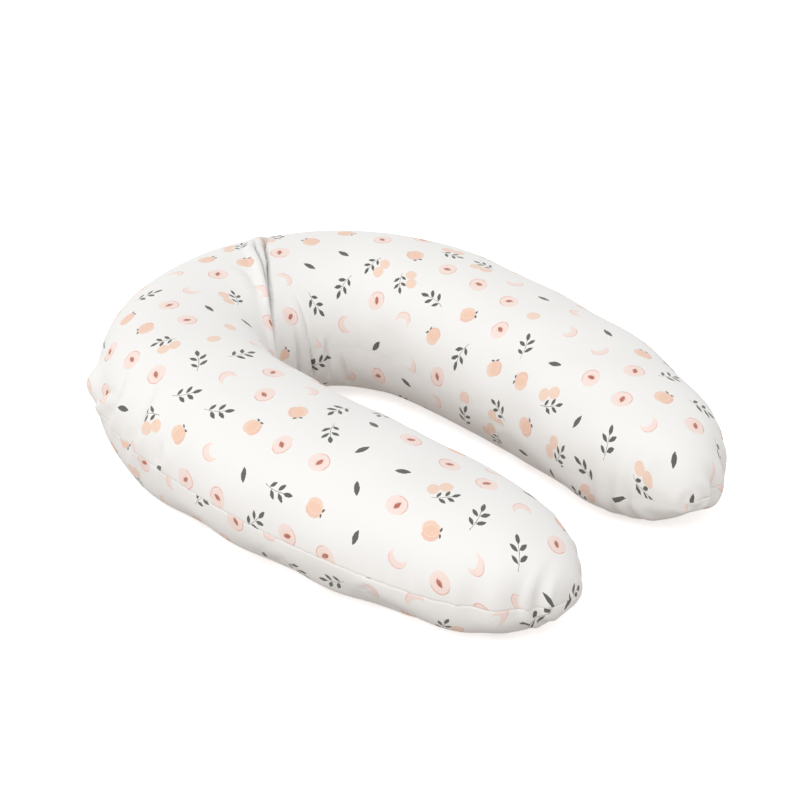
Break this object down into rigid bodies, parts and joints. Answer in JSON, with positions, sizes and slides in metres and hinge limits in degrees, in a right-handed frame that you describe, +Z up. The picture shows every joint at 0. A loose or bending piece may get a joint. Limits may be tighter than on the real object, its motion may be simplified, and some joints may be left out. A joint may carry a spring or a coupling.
{
  "type": "nursing pillow",
  "caption": "U-shaped nursing pillow: a long stuffed roll in a printed cotton cover with a zip hidden in its outer seam, over a plain inner case and loose fill.",
  "frame": {"origin": "centre of the footprint of the whole pillow, on the surface that it rests on", "axes": "+Z up; +Y from the open mouth of the U to its round bend; +X to the right arm, seen from above with the bend away from you"},
  "size_m": [0.5862, 0.7628, 0.173],
  "materials": {
    "printed_cotton": "white cotton percale with a small print of fruit and leaves, matte",
    "plain_cotton": "plain unbleached-white cotton, matte",
    "fibre_fill": "loose white polyester fibre balls",
    "zip_tape": "white woven polyester tape",
    "zip_nylon": "white nylon coil, satin",
    "zip_enamel": "white enamelled zinc, satin",
    "label_satin": "white satin ribbon, blank"
  },
  "bodies": {
    "pillow": {"outer_cover_top": "printed_cotton", "outer_cover_bottom": "printed_cotton", "inner_case_top": "plain_cotton", "inner_case_bottom": "plain_cotton", "fill": "fibre_fill", "zip_tape_upper": "zip_tape", "zip_tape_lower": "zip_tape", "zip_coil_upper": "zip_nylon", "zip_coil_lower": "zip_nylon", "zip_top_stop_upper": "zip_enamel", "zip_top_stop_lower": "zip_enamel", "zip_bottom_stop": "zip_enamel", "care_label": "label_satin", "inner_case_label": "label_satin"},
    "zip_slider": {"zip_slider_body": "zip_enamel"},
    "zip_pull": {"zip_pull_tab": "zip_enamel"}
  },
  "joints": [
    {"name": "zip_slider_travel", "type": "hinge", "parent": "pillow", "child": "zip_slider", "pos_m": [0.00141, 0.10035, 0.08], "axis": [0, 0, 1], "range_deg": [0, 77]},
    {"name": "zip_pull_swing", "type": "hinge", "parent": "zip_slider", "child": "zip_pull", "pos_m": [0.20635, 0.29826, 0.08], "axis": [0, 0, 1], "range_deg": [-170, 0]}
  ]
}
